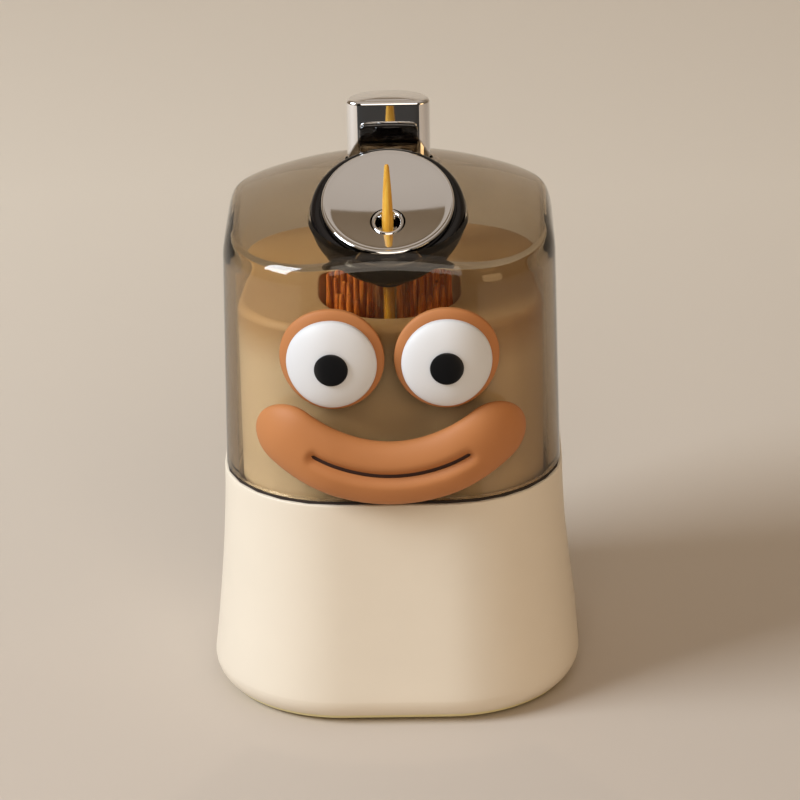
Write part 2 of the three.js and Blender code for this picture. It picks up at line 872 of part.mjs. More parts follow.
// Return spring: one wire wound round the bore's axis, its ends straight and upright

function helixWire(bottom, top) {
  const steps = springCurls * curlSteps;
  const lead = 2 * springWire;
  const path = [[springRadius, 0, bottom]];
  for (let i = 0; i <= steps; i++) {
    const angle = (2 * Math.PI * i) / curlSteps;
    const z = bottom + lead + ((top - bottom - 2 * lead) * i) / steps;
    path.push([springRadius * Math.cos(angle), springRadius * Math.sin(angle), z]);
  }
  path.push([springRadius, 0, top]);
  return path.map(([x, y, z]) => new THREE.Vector3(x, y + knobPlace, z));
}

function leastGap(path) {
  let least = Infinity;
  for (let i = 0; i < path.length; i++) {
    for (let j = i + curlSteps / 2; j < path.length; j++) {
      least = Math.min(least, path[i].distanceTo(path[j]) - springWire);
    }
  }
  return least;
}

function wireRing(path, i) {
  const before = path[Math.max(i - 1, 0)];
  const after = path[Math.min(i + 1, path.length - 1)];
  const along = after.clone().sub(before);
  if (i === 0 || i === path.length - 1) along.set(0, 0, 1);
  along.normalize();
  const outward = new THREE.Vector3(path[i].x, path[i].y - knobPlace, 0).normalize();
  outward.addScaledVector(along, -outward.dot(along)).normalize();
  const side = new THREE.Vector3().crossVectors(along, outward);
  return Array.from({ length: wireSides }, (_, k) => {
    const angle = (2 * Math.PI * k) / wireSides;
    const point = path[i].clone();
    point.addScaledVector(outward, (springWire / 2) * Math.cos(angle));
    point.addScaledVector(side, (springWire / 2) * Math.sin(angle));
    return point.toArray();
  });
}

function returnSpring() {
  const path = helixWire(boreFloorHeight + seat, stemBottom - seat);
  console.log(`spring: least gap to itself ${leastGap(path).toFixed(2)} mm`);
  const rings = path.map((point, i) => wireRing(path, i));
  return loft([[path[0].toArray()], ...rings, [path[path.length - 1].toArray()]]);
}

addPart('return_spring', returnSpring(), 'steel');

// Face: its pieces follow the cover's front, which is flat in the middle and rounds away at the sides

function coverFrontAt(x, z) {
  const share = (z - coverBottom) / (coverShoulder - coverBottom);
  const half = coverHalf - coverDraft * share;
  const flat = half - cornerRadiusAt(half);
  const past = Math.max(Math.abs(x) - flat, 0);
  return -(flat + Math.sqrt(cornerRadiusAt(half) ** 2 - past ** 2));
}

// Points given as [x, height, distance out from the cover]
function onCover(points) {
  return points.map(([x, z, out]) => [x, coverFrontAt(x, z) - out, z]);
}

function domeOnCover(x, z, radius, from, depth, rounding, steps = roundSteps) {
  const disc = (share, out) => onCover(circleRing(radius * share, 0, 0, steps).map(
    ([across, up]) => [x + across, z + up, out],
  ));
  const rings = discShares.map((share) => disc(share, from));
  rings.push(disc(1, from + depth * (1 - rounding)));
  for (const share of domeShares) {
    rings.push(disc(share, from + depth * (1 - rounding * share ** 3)));
  }
  return loft(rings);
}

function smilePath(spread, steps) {
  return Array.from({ length: steps + 1 }, (_, i) => {
    const across = spread * ((2 * i) / steps - 1);
    return [across, smileHeightAt(across)];
  });
}

// A round-ended roll along the smile's curve, lying between two distances out from the cover
function smileRoll(spread, halfWidth, from, to, steps, sides) {
  const path = smilePath(spread, steps);
  const heading = (i) => {
    const a = path[Math.max(i - 1, 0)];
    const b = path[Math.min(i + 1, steps)];
    const length = Math.hypot(b[0] - a[0], b[1] - a[1]);
    return [(b[0] - a[0]) / length, (b[1] - a[1]) / length];
  };
  const section = (i, shift, size) => {
    const [ahead, climb] = heading(i);
    const x = path[i][0] + ahead * shift;
    const z = path[i][1] + climb * shift;
    return onCover(Array.from({ length: sides }, (_, k) => {
      const angle = (2 * Math.PI * k) / sides;
      const across = halfWidth * size * Math.cos(angle);
      const out = (from + to) / 2 + ((to - from) / 2) * size * Math.sin(angle);
      return [x - across * climb, z + across * ahead, out];
    }));
  };
  const end = (i, way) => endShares.map((share) => {
    const angle = (share * Math.PI) / 2;
    return section(i, way * halfWidth * Math.cos(angle), Math.sin(angle));
  });
  const tip = (i, way) => [section(i, way * halfWidth, 0)[0]];
  const middle = path.map((_, i) => section(i, 0, 1));
  return loft([tip(0, -1), ...end(0, -1), ...middle, ...end(steps, 1).reverse(), tip(steps, 1)]);
}

function smile() {
  const front = fit + smileDepth;
  const roll = smileRoll(smileSpread, smileThickness, fit, front, smileSteps, smileSides);
  const under = front - smileGrooveDepth - smileLineDepth;
  const over = front + smileGrooveDepth;
  const groove = smileRoll(smileLineSpread, smileGroove, under, over, lineSteps, grooveSides);
  return shape(roll, { cut: [groove] });
}

function smileLine() {
  const front = fit + smileDepth - smileLineDepth;
  const back = fit + smileDepth - smileGrooveDepth + seat;
  return smileRoll(smileLineSpread, smileGroove / 2, back, front, lineSteps, lineSides);
}

addPart('smile', smile(), 'orangeBrown');
addPart('smile_line', smileLine(), 'darkBrown');
for (const [side, x] of [['left', -eyeSpread], ['right', eyeSpread]]) {
  const eyeBack = fit + eyeRimDepth + seat;
  const pupilBack = eyeBack + eyeDepth + seat;
  const dome = (radius, from, depth, roundingShare, steps) => (
    domeOnCover(x, eyeHeight, radius, from, depth, roundingShare, steps));
  addPart(`eye_rim_${side}`, dome(eyeRimRadius, fit, eyeRimDepth, eyeRimRoundingShare), 'orangeBrown');
  addPart(`eye_${side}`, dome(eyeRadius, eyeBack, eyeDepth, eyeRoundingShare), 'white');
  const pupil = dome(pupilRadius, pupilBack, pupilDepth, eyeRoundingShare, smallSteps);
  addPart(`pupil_${side}`, pupil, 'pupilBlack');
}

// The face stands out in front, so the middle of the whole object lies a little before the base's middle
const middle = new THREE.Box3().setFromObject(dispenser).getCenter(new THREE.Vector3());
dispenser.position.y = -middle.y;
console.log(`base axis at y ${(-middle.y).toFixed(3)} mm`);

export default dispenser;
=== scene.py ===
# Toothpick dispenser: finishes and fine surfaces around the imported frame, in metres.
from math import asin, cos, exp, hypot, log, pi, radians, sin, sqrt

import bpy
from mathutils import Matrix, Vector


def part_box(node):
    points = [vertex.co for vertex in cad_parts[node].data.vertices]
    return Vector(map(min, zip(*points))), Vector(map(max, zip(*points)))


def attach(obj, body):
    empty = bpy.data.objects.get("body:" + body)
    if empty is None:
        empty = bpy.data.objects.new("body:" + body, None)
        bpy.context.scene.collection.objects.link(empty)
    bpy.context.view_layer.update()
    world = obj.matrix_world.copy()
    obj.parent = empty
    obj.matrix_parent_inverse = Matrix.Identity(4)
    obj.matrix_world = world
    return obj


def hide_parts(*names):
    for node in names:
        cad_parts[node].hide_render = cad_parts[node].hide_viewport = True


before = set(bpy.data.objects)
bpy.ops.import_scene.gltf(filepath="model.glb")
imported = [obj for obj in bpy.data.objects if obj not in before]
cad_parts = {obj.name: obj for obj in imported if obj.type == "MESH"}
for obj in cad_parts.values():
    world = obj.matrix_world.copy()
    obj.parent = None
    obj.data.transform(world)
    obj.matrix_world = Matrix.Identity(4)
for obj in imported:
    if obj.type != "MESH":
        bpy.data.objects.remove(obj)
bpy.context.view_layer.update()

MM = 0.001

# Camera, from the photograph
VIEW_AZIMUTH = 1.0
VIEW_ELEVATION = 22.8
VIEW_ROLL = 1.2
VIEW_DISTANCE = 715 * MM
TARGET_HEIGHT = 56 * MM
PIXELS_PER_METRE = 5000.0
IMAGE_SIZE = 800.0
TARGET_PIXEL = (393.0, 392.0)
SENSOR_WIDTH = 36.0


# Places read from the frame

def low(node):
    return Vector(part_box(node)[0])


def high(node):
    return Vector(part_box(node)[1])


def middle(node):
    return (low(node) + high(node)) / 2


def half_width(node):
    return (high(node).x - low(node).x) / 2


AXIS_Y = middle("base_shell").y
STEM_Y = middle("knob_stem").y
WELL_Y = middle("well_floor").y
PICK_Y = middle("dispensed_toothpick").y

# Values that the model's solids share
FIT = 0.3 * MM
SEAT = 0.06 * MM
CORNER_CENTRE = 10.4 * MM
BASE_WALL = 2.4 * MM
COVER_WALL = 2.2 * MM
TUBE_WALL = 0.9 * MM
DISH_PLACE = WELL_Y - 3.2 * MM
DISH_HEIGHT = 101.8 * MM
DISH_SLOPE = 0.46

SEAM_HEIGHT = high("base_shell").z
SHELL_BOTTOM = low("base_shell").z
BULGE_HALF = half_width("base_shell")
COVER_HALF = half_width("cover")
COVER_BOTTOM = low("cover").z
SHOULDER = 89.8 * MM
DRAFT = 0.8 * MM
DOME_TOP = 103.0 * MM
OVERRUN = 5 * MM

FEET = ("foot_front_left", "foot_front_right", "foot_rear_left", "foot_rear_right")
SCREWS = ("bottom_screw_right", "bottom_screw_rear", "bottom_screw_left", "bottom_screw_front")

# Steps round a circle, round one corner and along one straight side
ROUND = 96
CORNER = 16
SIDE = 6


# Mesh helpers

def circle_ring(radius, z, y=0.0, x=0.0, steps=ROUND):
    if radius == 0:
        return [(x, y, z)]
    turns = [2 * pi * i / steps for i in range(steps)]
    return [(x + radius * cos(a), y + radius * sin(a), z) for a in turns]


def corner_radius(half):
    return half - CORNER_CENTRE if half > 2 * CORNER_CENTRE else half / 2


def square_ring(half, z):
    if half == 0:
        return [(0, AXIS_Y, z)]
    radius = corner_radius(half)
    centre = half - radius
    signs = [(1, 1), (-1, 1), (-1, -1), (1, -1)]
    ring = []
    for corner, (sx, sy) in enumerate(signs):
        for i in range(CORNER + 1):
            a = corner * pi / 2 + i * pi / (2 * CORNER)
            ring.append((sx * centre + radius * cos(a), AXIS_Y + sy * centre + radius * sin(a), z))
        a = (corner + 1) * pi / 2
        nx, ny = signs[(corner + 1) % len(signs)]
        x0, y0 = sx * centre + radius * cos(a), sy * centre + radius * sin(a)
        x1, y1 = nx * centre + radius * cos(a), ny * centre + radius * sin(a)
        for i in range(1, SIDE):
            share = i / SIDE
            ring.append((x0 + (x1 - x0) * share, AXIS_Y + y0 + (y1 - y0) * share, z))
    return ring


def skin(rings, closed=False):
    verts, faces, starts = [], [], []
    for ring in rings:
        starts.append(len(verts))
        verts.extend(ring)
    for r in range(len(rings) if closed else len(rings) - 1):
        n = (r + 1) % len(rings)
        a, b = len(rings[r]), len(rings[n])
        if a == 1 and b == 1:
            continue
        for i in range(max(a, b)):
            j = (i + 1) % max(a, b)
            if a == 1:
                faces.append((starts[r], starts[n] + j, starts[n] + i))
            elif b == 1:
                faces.append((starts[r] + i, starts[r] + j, starts[n]))
            else:
                faces.append((starts[r] + i, starts[r] + j, starts[n] + j, starts[n] + i))
    return verts, faces


def volume_sign(verts, faces):
    total = 0.0
    for face in faces:
        a = Vector(verts[face[0]])
        for i in range(1, len(face) - 1):
            total += a.dot(Vector(verts[face[i]]).cross(Vector(verts[face[i + 1]])))
    return total


def smooth(obj, angle=38):
    obj.data.shade_smooth()
    obj.data.set_sharp_from_angle(angle=radians(angle))


def make(name, verts, faces, angle=38):
    if volume_sign(verts, faces) < 0:
        faces = [tuple(reversed(face)) for face in faces]
    mesh = bpy.data.meshes.new(name)
    mesh.from_pydata([tuple(v) for v in verts], [], faces)
    mesh.validate()
    mesh.update()
    obj = bpy.data.objects.new(name, mesh)
    bpy.context.scene.collection.objects.link(obj)
    smooth(obj, angle)
    return obj


def make_square(name, profile, closed=False):
    return make(name, *skin([square_ring(h, z) for h, z in profile], closed))


def make_round(name, profile, y, x=0.0, closed=False, steps=ROUND):
    return make(name, *skin([circle_ring(r, z, y, x, steps) for r, z in profile], closed))


def bend(obj, move):
    for vertex in obj.data.vertices:
        vertex.co = move(vertex.co)
    obj.data.update()
    smooth(obj)
    return obj


def slant(obj):
    return bend(obj, lambda p: Vector((p.x, p.y, p.z + DISH_SLOPE * (p.y - DISH_PLACE))))


def cut(obj, cutters, operation="DIFFERENCE"):
    for cutter in cutters:
        modifier = obj.modifiers.new("cut", "BOOLEAN")
        modifier.operation = operation
        modifier.solver = "EXACT"
        modifier.object = cutter
    graph = bpy.context.evaluated_depsgraph_get()
    obj.data = bpy.data.meshes.new_from_object(obj.evaluated_get(graph))
    obj.modifiers.clear()
    for cutter in cutters:
        bpy.data.objects.remove(cutter)
    smooth(obj)
    return obj


def drum(radius, bottom, top, y, x=0.0):
    return make_round("cutter", [(0, bottom), (radius, bottom), (radius, top), (0, top)], y, x)


def arc(c_half, c_z, r_half, r_z, start, end, steps):
    angles = [start + (end - start) * i / steps for i in range(steps + 1)]
    return [(c_half + r_half * cos(a), c_z + r_z * sin(a)) for a in angles]


# Materials

def node_material(name):
    material = bpy.data.materials.new(name)
    material.use_nodes = True
    tree = material.node_tree
    return material, tree, tree.nodes["Principled BSDF"]


def shader_values(shader, **values):
    for key, value in values.items():
        shader.inputs[key.replace("_", " ")].default_value = value


def coordinates(tree, scale=(1, 1, 1)):
    place = tree.nodes.new("ShaderNodeTexCoord")
    mapping = tree.nodes.new("ShaderNodeMapping")
    mapping.inputs["Scale"].default_value = scale
    tree.links.new(place.outputs["Object"], mapping.inputs["Vector"])
    return mapping.outputs["Vector"]


def noise(tree, vector, scale, detail=4.0, roughness=0.55):
    node = tree.nodes.new("ShaderNodeTexNoise")
    node.inputs["Scale"].default_value = scale
    node.inputs["Detail"].default_value = detail
    node.inputs["Roughness"].default_value = roughness
    tree.links.new(vector, node.inputs["Vector"])
    return node.outputs["Fac"]


def ramp(tree, factor, stops):
    node = tree.nodes.new("ShaderNodeValToRGB")
    elements = node.color_ramp.elements
    while len(elements) < len(stops):
        elements.new(0.5)
    for element, (place, colour) in zip(elements, stops):
        element.position = place
        element.color = (*colour, 1)
    tree.links.new(factor, node.inputs["Fac"])
    return node.outputs["Color"]


def spread(tree, factor, lowest, highest):
    node = tree.nodes.new("ShaderNodeMapRange")
    node.inputs["To Min"].default_value = lowest
    node.inputs["To Max"].default_value = highest
    tree.links.new(factor, node.inputs["Value"])
    return node.outputs["Result"]


def bump(tree, shader, factor, strength, distance):
    node = tree.nodes.new("ShaderNodeBump")
    node.inputs["Strength"].default_value = strength
    node.inputs["Distance"].default_value = distance
    tree.links.new(factor, node.inputs["Height"])
    tree.links.new(node.outputs["Normal"], shader.inputs["Normal"])


def moulded(name, colour, rough, variation=0.05, grain=0.12, grain_size=2600.0, **values):
    """Moulded plastic: faint cloudy colour, uneven gloss and a fine grain."""
    material, tree, shader = node_material(name)
    vector = coordinates(tree)
    cloud = noise(tree, vector, 45.0, 3.0)
    darker = tuple(c * (1 - variation) for c in colour)
    lighter = tuple(min(1.0, c * (1 + variation)) for c in colour)
    tree.links.new(ramp(tree, cloud, [(0.3, darker), (0.7, lighter)]), shader.inputs["Base Color"])
    gloss = noise(tree, vector, 120.0, 5.0)
    tree.links.new(spread(tree, gloss, rough - 0.05, rough + 0.05), shader.inputs["Roughness"])
    bump(tree, shader, noise(tree, vector, grain_size, 2.0), grain, 0.02 * MM)
    shader_values(shader, **values)
    return material


def painted_shade_top(name, colour, shade_colour, top):
    """Moulded plastic with painted shade: its colour darkens towards its top, standing in for the shade that
    falls there.
    """
    material = moulded(name, colour, 0.5, 0.02, 0.08)
    tree = material.node_tree
    shader = tree.nodes["Principled BSDF"]
    body_colour = shader.inputs["Base Color"].links[0].from_socket
    place_at = tree.nodes.new("ShaderNodeSeparateXYZ")
    tree.links.new(coordinates(tree), place_at.inputs["Vector"])
    # Painted shade: the colour darkens from 11 mm below the top to 1 mm below it.
    height = tree.nodes.new("ShaderNodeMapRange")
    height.interpolation_type = "SMOOTHSTEP"
    height.inputs["From Min"].default_value = top - 11 * MM
    height.inputs["From Max"].default_value = top - MM
    tree.links.new(place_at.outputs["Z"], height.inputs["Value"])
    mix = tree.nodes.new("ShaderNodeMix")
    mix.data_type = "RGBA"
    mix.inputs["B"].default_value = (*shade_colour, 1)
    tree.links.new(height.outputs["Result"], mix.inputs["Factor"])
    tree.links.new(body_colour, mix.inputs["A"])
    tree.links.new(mix.outputs["Result"], shader.inputs["Base Color"])
    return material


def plated(name, colour, rough):
    """Bright plating with very faint waviness."""
    material, tree, shader = node_material(name)
    vector = coordinates(tree)
    darker = tuple(c * 0.97 for c in colour)
    tree.links.new(ramp(tree, noise(tree, vector, 60.0), [(0.2, darker), (0.8, colour)]),
                   shader.inputs["Base Color"])
    tree.links.new(spread(tree, noise(tree, vector, 300.0, 6.0), rough * 0.6, rough * 1.5),
                   shader.inputs["Roughness"])
    bump(tree, shader, noise(tree, vector, 90.0, 1.0), 0.05, 0.02 * MM)
    shader_values(shader, Metallic=1.0)
    return material


def bamboo(name, *shades):
    """Split bamboo: streaks along the stick, paler and darker sticks, dark pores."""
    material, tree, shader = node_material(name)
    streak = noise(tree, coordinates(tree, (1, 1, 0.035)), 2600.0, 6.0, 0.7)
    colour = ramp(tree, streak, list(zip((0.25, 0.45, 0.62, 0.8), shades)))
    stick = ramp(tree, noise(tree, coordinates(tree, (1, 1, 0.0)), 420.0, 1.0),
                 [(0.35, (0.62, 0.50, 0.40)), (0.6, (1, 1, 1))])
    mix = tree.nodes.new("ShaderNodeMix")
    mix.data_type = "RGBA"
    mix.blend_type = "MULTIPLY"
    mix.inputs["Factor"].default_value = 0.75
    tree.links.new(colour, mix.inputs["A"])
    tree.links.new(stick, mix.inputs["B"])
    tree.links.new(mix.outputs["Result"], shader.inputs["Base Color"])
    tree.links.new(spread(tree, streak, 0.65, 0.42), shader.inputs["Roughness"])
    bump(tree, shader, streak, 0.5, 0.05 * MM)
    return material


def clear_plastic(name, through, thickness, rough):
    """Clear plastic: what is left of white light after this thickness gives its colour."""
    material, tree, shader = node_material(name)
    vector = coordinates(tree)
    tree.links.new(ramp(tree, noise(tree, vector, 30.0), [(0.2, (0.95, 0.95, 0.95)), (0.8, (1, 1, 1))]),
                   shader.inputs["Base Color"])
    tree.links.new(spread(tree, noise(tree, vector, 400.0, 6.0), rough * 0.5, rough * 1.5),
                   shader.inputs["Roughness"])
    bump(tree, shader, noise(tree, vector, 35.0, 1.0), 0.04, 0.05 * MM)
    shader_values(shader, IOR=1.49)
    shader.inputs["Transmission Weight"].default_value = 1.0
    out = tree.nodes["Material Output"]
    passing = tree.nodes.new("ShaderNodeBsdfTransparent")
    path = tree.nodes.new("ShaderNodeLightPath")
    mix = tree.nodes.new("ShaderNodeMixShader")
    tree.links.new(path.outputs["Is Shadow Ray"], mix.inputs["Fac"])
    tree.links.new(shader.outputs["BSDF"], mix.inputs[1])
    tree.links.new(passing.outputs["BSDF"], mix.inputs[2])
    tree.links.new(mix.outputs["Shader"], out.inputs["Surface"])
    loss = [-log(share) / thickness for share in through]
    inside = tree.nodes.new("ShaderNodeVolumeAbsorption")
    inside.inputs["Density"].default_value = max(loss)
    inside.inputs["Color"].default_value = (*[1 - part / max(loss) for part in loss], 1)
    tree.links.new(inside.outputs["Volume"], out.inputs["Volume"])
    return material


CREAM = moulded("cream_plastic", (0.80, 0.71, 0.58), 0.42, 0.02, 0.08)
CUP_CREAM = moulded("cup_plastic", (0.84, 0.71, 0.53), 0.5, 0.02, 0.08)
# The cup body darkens towards its top deck: painted shade for the deck that lies in shade under the dome.
CUP_BODY = painted_shade_top("cup_body_painted_shade", (0.91, 0.785, 0.605), (0.62, 0.42, 0.22), high("toothpick_cup").z)
BOTTOM = moulded("bottom_plastic", (0.84, 0.76, 0.42), 0.5, 0.03, 0.1)
STEEL = plated("bright_steel", (0.62, 0.62, 0.63), 0.25)
SMOKED = clear_plastic("smoked_clear", (0.675, 0.607, 0.508), COVER_WALL, 0.02)
CLEAR = clear_plastic("clear_tube", (0.90, 0.85, 0.66), TUBE_WALL, 0.03)
# The seal's near-black brown is its own rubber colour and also painted shade, set to stand for the shadowed
# gap at the seam.
SEAL_AND_GAP_SHADE = moulded("seal_rubber_and_gap_shade", (0.025, 0.014, 0.009), 0.75)
BLACK = moulded("black_gloss", (0.006, 0.005, 0.005), 0.09, 0.1, 0.03, 1200.0, Specular_IOR_Level=0.35)
CHROME = plated("chrome", (0.86, 0.86, 0.87), 0.035)
SILICONE = moulded("silicone", (0.75, 0.70, 0.62), 0.6)
BAMBOO = bamboo("bamboo", (0.68, 0.29, 0.018), (0.94, 0.50, 0.04), (1.0, 0.66, 0.09), (1.0, 0.80, 0.26))
# A darker, redder copy of the bamboo for the bundle: painted shade for the sticks standing in shade inside
# the smoked cover.
SHADED_BAMBOO = bamboo("bamboo_painted_shade", (0.20, 0.036, 0.003), (0.55, 0.13, 0.012), (0.84, 0.30, 0.035),
                     (1.0, 0.62, 0.18))
ORANGE = moulded("soft_orange_brown", (0.50, 0.192, 0.058), 0.62, 0.06, 0.35, 1500.0)
DARK = moulded("dark_line", (0.035, 0.010, 0.004), 0.7)
WHITE = moulded("eye_white", (0.72, 0.72, 0.73), 0.55, 0.015, 0.25, 1500.0)
PUPIL = moulded("pupil_black", (0.006, 0.006, 0.007), 0.35, 0.1, 0.1)
RUBBER = moulded("foot_rubber", (0.06, 0.055, 0.05), 0.8, 0.1, 0.3)


def place(obj, body, material, slot, *nodes):
    obj.data.materials.clear()
    obj.data.materials.append(material)
    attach(obj, body)
    if nodes:
        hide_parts(*nodes)
    return obj


def finish_node(node, material):
    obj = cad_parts[node]
    obj.data.materials.clear()
    obj.data.materials.append(material)


# Base

BULGE_HEIGHT = 5.5 * MM
FOOT_TUCK = 5.7 * MM
FOOT_DROP = 5.5 * MM
FLARE = 3.3 * MM
FLARE_POWER = 1.6
LEDGE_TOP = low("toothpick_cup").z - SEAT
LEDGE_REACH = 4.6 * MM
SPIGOT_INSET = 3.5 * MM
SPIGOT_RISE = 1.6 * MM
FLANGE_ROUND = 2.4 * MM
FOOT_POCKET = 0.5 * MM
SCREW_HEAD = 1.2 * MM
SCREW_HOLE = 1.6 * MM
FOOT_ANGLE = asin((BULGE_HEIGHT - SHELL_BOTTOM) / FOOT_DROP)
SHELL_BOTTOM_HALF = BULGE_HALF - FOOT_TUCK + FOOT_TUCK * cos(FOOT_ANGLE)


def base_half(z):
    share = (SEAM_HEIGHT - z) / (SEAM_HEIGHT - BULGE_HEIGHT)
    return BULGE_HALF - FLARE + FLARE * share ** FLARE_POWER


def make_base():
    seam_half = BULGE_HALF - FLARE
    edge = 0.35 * MM
    start = SEAM_HEIGHT - edge
    outer = arc(seam_half - edge, start, edge, edge, pi / 2, 0, 4)
    steps = 28
    outer += [(base_half(z), z) for z in
              [start + (BULGE_HEIGHT - start) * i / steps for i in range(1, steps)]]
    under = arc(BULGE_HALF - FOOT_TUCK, BULGE_HEIGHT, FOOT_TUCK, FOOT_DROP, 0, -FOOT_ANGLE, 14)
    lip = 0.2 * MM
    mouth = seam_half - BASE_WALL
    bottom_half = SHELL_BOTTOM_HALF - SPIGOT_INSET + FIT
    inside = [
        (SHELL_BOTTOM_HALF - lip, SHELL_BOTTOM - lip / 3),
        (bottom_half, SHELL_BOTTOM), (bottom_half, SHELL_BOTTOM + SPIGOT_RISE + SEAT),
        (BULGE_HALF - BASE_WALL - FIT, BULGE_HEIGHT + BASE_WALL),
        (mouth, LEDGE_TOP - LEDGE_REACH - BASE_WALL),
        (mouth - LEDGE_REACH, LEDGE_TOP - BASE_WALL), (mouth - LEDGE_REACH, LEDGE_TOP),
        (mouth, LEDGE_TOP), (mouth, SEAM_HEIGHT - edge), (mouth + edge, SEAM_HEIGHT),
    ]
    base = make_square("base_housing", outer + under + inside, True)
    return place(base, "base", CREAM, "cream_plastic", "base_shell")


def make_bottom():
    bottom, flange_top = low("bottom_cover").z, SHELL_BOTTOM - SEAT
    flange_half = half_width("bottom_cover")
    spigot_half = SHELL_BOTTOM_HALF - SPIGOT_INSET
    spigot_top = high("bottom_cover").z
    edge = 0.2 * MM
    profile = [(0, bottom)]
    profile += arc(flange_half - FLANGE_ROUND, flange_top - edge, FLANGE_ROUND, flange_top - edge - bottom,
                   -pi / 2, 0, 10)
    profile += [(flange_half - edge, flange_top), (spigot_half, flange_top), (spigot_half, spigot_top),
                (0, spigot_top)]
    plate = make_square("bottom_plate", profile)
    cutters = []
    for node in FEET:
        centre = middle(node)
        pocket = half_width(node) + FIT
        cutters.append(drum(pocket, -OVERRUN, bottom + FOOT_POCKET, centre.y, centre.x))
    for node in SCREWS:
        centre = middle(node)
        cutters.append(drum(half_width(node) + FIT, -OVERRUN, bottom + SCREW_HEAD, centre.y, centre.x))
        cutters.append(drum(SCREW_HOLE, -OVERRUN, spigot_top + OVERRUN, centre.y, centre.x))
    cut(plate, cutters)
    return place(plate, "base", BOTTOM, "bottom_plastic", "bottom_cover")


# Cup

CUP_WALL = 1.8 * MM
CUP_EDGE = 1.6 * MM
WELL_WALL = 1.6 * MM


def make_cup():
    top = high("toothpick_cup").z
    bottom = low("toothpick_cup").z
    half = half_width("toothpick_cup")
    wall, edge = CUP_WALL, CUP_EDGE
    well = half_width("well_floor") + FIT
    bore = half_width("stem_bushing") + FIT
    lip = 0.5 * MM
    profile = [(0, top)] + arc(half - edge, top - edge, edge, edge, pi / 2, 0, 10)
    profile += [(half, bottom), (half - wall, bottom), (half - wall, top - wall), (0, top - wall)]
    cup = make_square("toothpick_cup_body", profile)
    well_bottom = low("well_floor").z
    bore_bottom = low("return_spring").z
    cut(cup, [drum(well + WELL_WALL, well_bottom - WELL_WALL, top - wall / 2, WELL_Y),
              drum(bore + WELL_WALL, bore_bottom - WELL_WALL, top - wall / 2, STEM_Y)], "UNION")
    mouth = make_round("cutter", [
        (0, well_bottom), (well, well_bottom), (well, top - lip), (well + lip * 0.13, top - lip / 2),
        (well + lip / 2, top - lip * 0.13), (well + lip, top),
        (well + lip, top + OVERRUN), (0, top + OVERRUN)], WELL_Y)
    cut(cup, [mouth, drum(bore, bore_bottom, top + OVERRUN, STEM_Y)])
    return place(cup, "base", CUP_BODY, "cup_plastic", "toothpick_cup")


# The knob's plan: an arch with a straight front, rounded corners and a bowed back

KNOB_HALF = half_width("knob")
KNOB_CORNER = 2.4 * MM
KNOB_ROUND = 3.4 * MM
KNOB_BACK = 6.0 * MM
KNOB_MIDDLE = low("knob").y + KNOB_CORNER


def arch_ring(grow, z, rounding=KNOB_CORNER):
    half = KNOB_HALF + grow
    corner = KNOB_CORNER + grow
    across = rounding + grow
    turns = [pi * i / 48 for i in range(1, 48)]
    ring = [(half * cos(a), KNOB_MIDDLE + (KNOB_BACK + grow) * sin(a), z) for a in turns]
    for side, start in ((-1, pi), (1, 1.5 * pi)):
        for i in range(17):
            a = start + pi / 2 * i / 16
            ring.append((side * (half - across) + across * cos(a), KNOB_MIDDLE + corner * sin(a), z))
        if side < 0:
            front = 2 * (half - across)
            ring += [(across - half + front * i / 10, KNOB_MIDDLE - corner, z) for i in range(1, 10)]
    return ring


def arch_form(name, profile):
    rings = [[(0, KNOB_MIDDLE, z)] if grow is None else arch_ring(grow, z) for grow, z in profile]
    return make(name, *skin(rings))


def arch_rod(grow, bottom, top):
    return arch_form("cutter", [(None, bottom), (grow, bottom), (grow, top), (None, top)])


# Cover

DOME_RISE = 7.7 * MM
DOME_REACH = 33.6 * MM
DOME_Y = AXIS_Y + 1.5 * MM
FILLET_RISE = 5.5 * MM
FILLET_WIDTH = 2.1 * MM
INNER_FILLET_WIDTH = 0.5 * MM
# The hollow's draft starts this far under the cover
HOLLOW_START = 2 * MM
RUNNING_FIT = 0.5 * MM
COLLAR_WALL = 1.2 * MM
COLLAR_DROP = 5.1 * MM


def dome_lift(x, y):
    return DOME_RISE * (1 - (x ** 2 + (y - DOME_Y) ** 2) / DOME_REACH ** 2)


def cover_form(name, inset, rim_width, bottom):
    rise = FILLET_RISE - inset
    corner = COVER_HALF - DRAFT - inset - rim_width
    edge = 0.25 * MM
    profile = [(0, bottom), (COVER_HALF - inset - edge, bottom), (COVER_HALF - inset, bottom + edge)]
    profile += [(COVER_HALF - inset - DRAFT * i / 14, bottom + (SHOULDER - bottom) * i / 14)
                for i in range(1, 14)]
    profile += arc(corner, SHOULDER, rim_width, rise, 0, pi / 2, 16)
    profile += [(corner * (1 - i / 24), SHOULDER + rise) for i in range(1, 25)]
    rings = []
    for half, z in profile:
        lift_share = max(z - SHOULDER, 0) / rise
        rings.append([(x, y, z + lift_share * dome_lift(x, y)) for x, y, _ in square_ring(half, z)])
    return make(name, *skin(rings))


def make_cover():
    shell = cover_form("smoked_cover", 0, FILLET_WIDTH, COVER_BOTTOM)
    hollow = cover_form("cutter", COVER_WALL, INNER_FILLET_WIDTH, COVER_BOTTOM - HOLLOW_START)
    below, top = SHOULDER - OVERRUN, DOME_TOP + OVERRUN
    cut(hollow, [arch_rod(RUNNING_FIT + COLLAR_WALL, DOME_TOP - COLLAR_DROP, top)])
    cut(shell, [hollow, drum(half_width("dish_body") + FIT, below, top, DISH_PLACE),
                arch_rod(RUNNING_FIT, below, top)])
    return place(shell, "cover_set", SMOKED, "smoked_clear", "cover")


# Dish and mirror

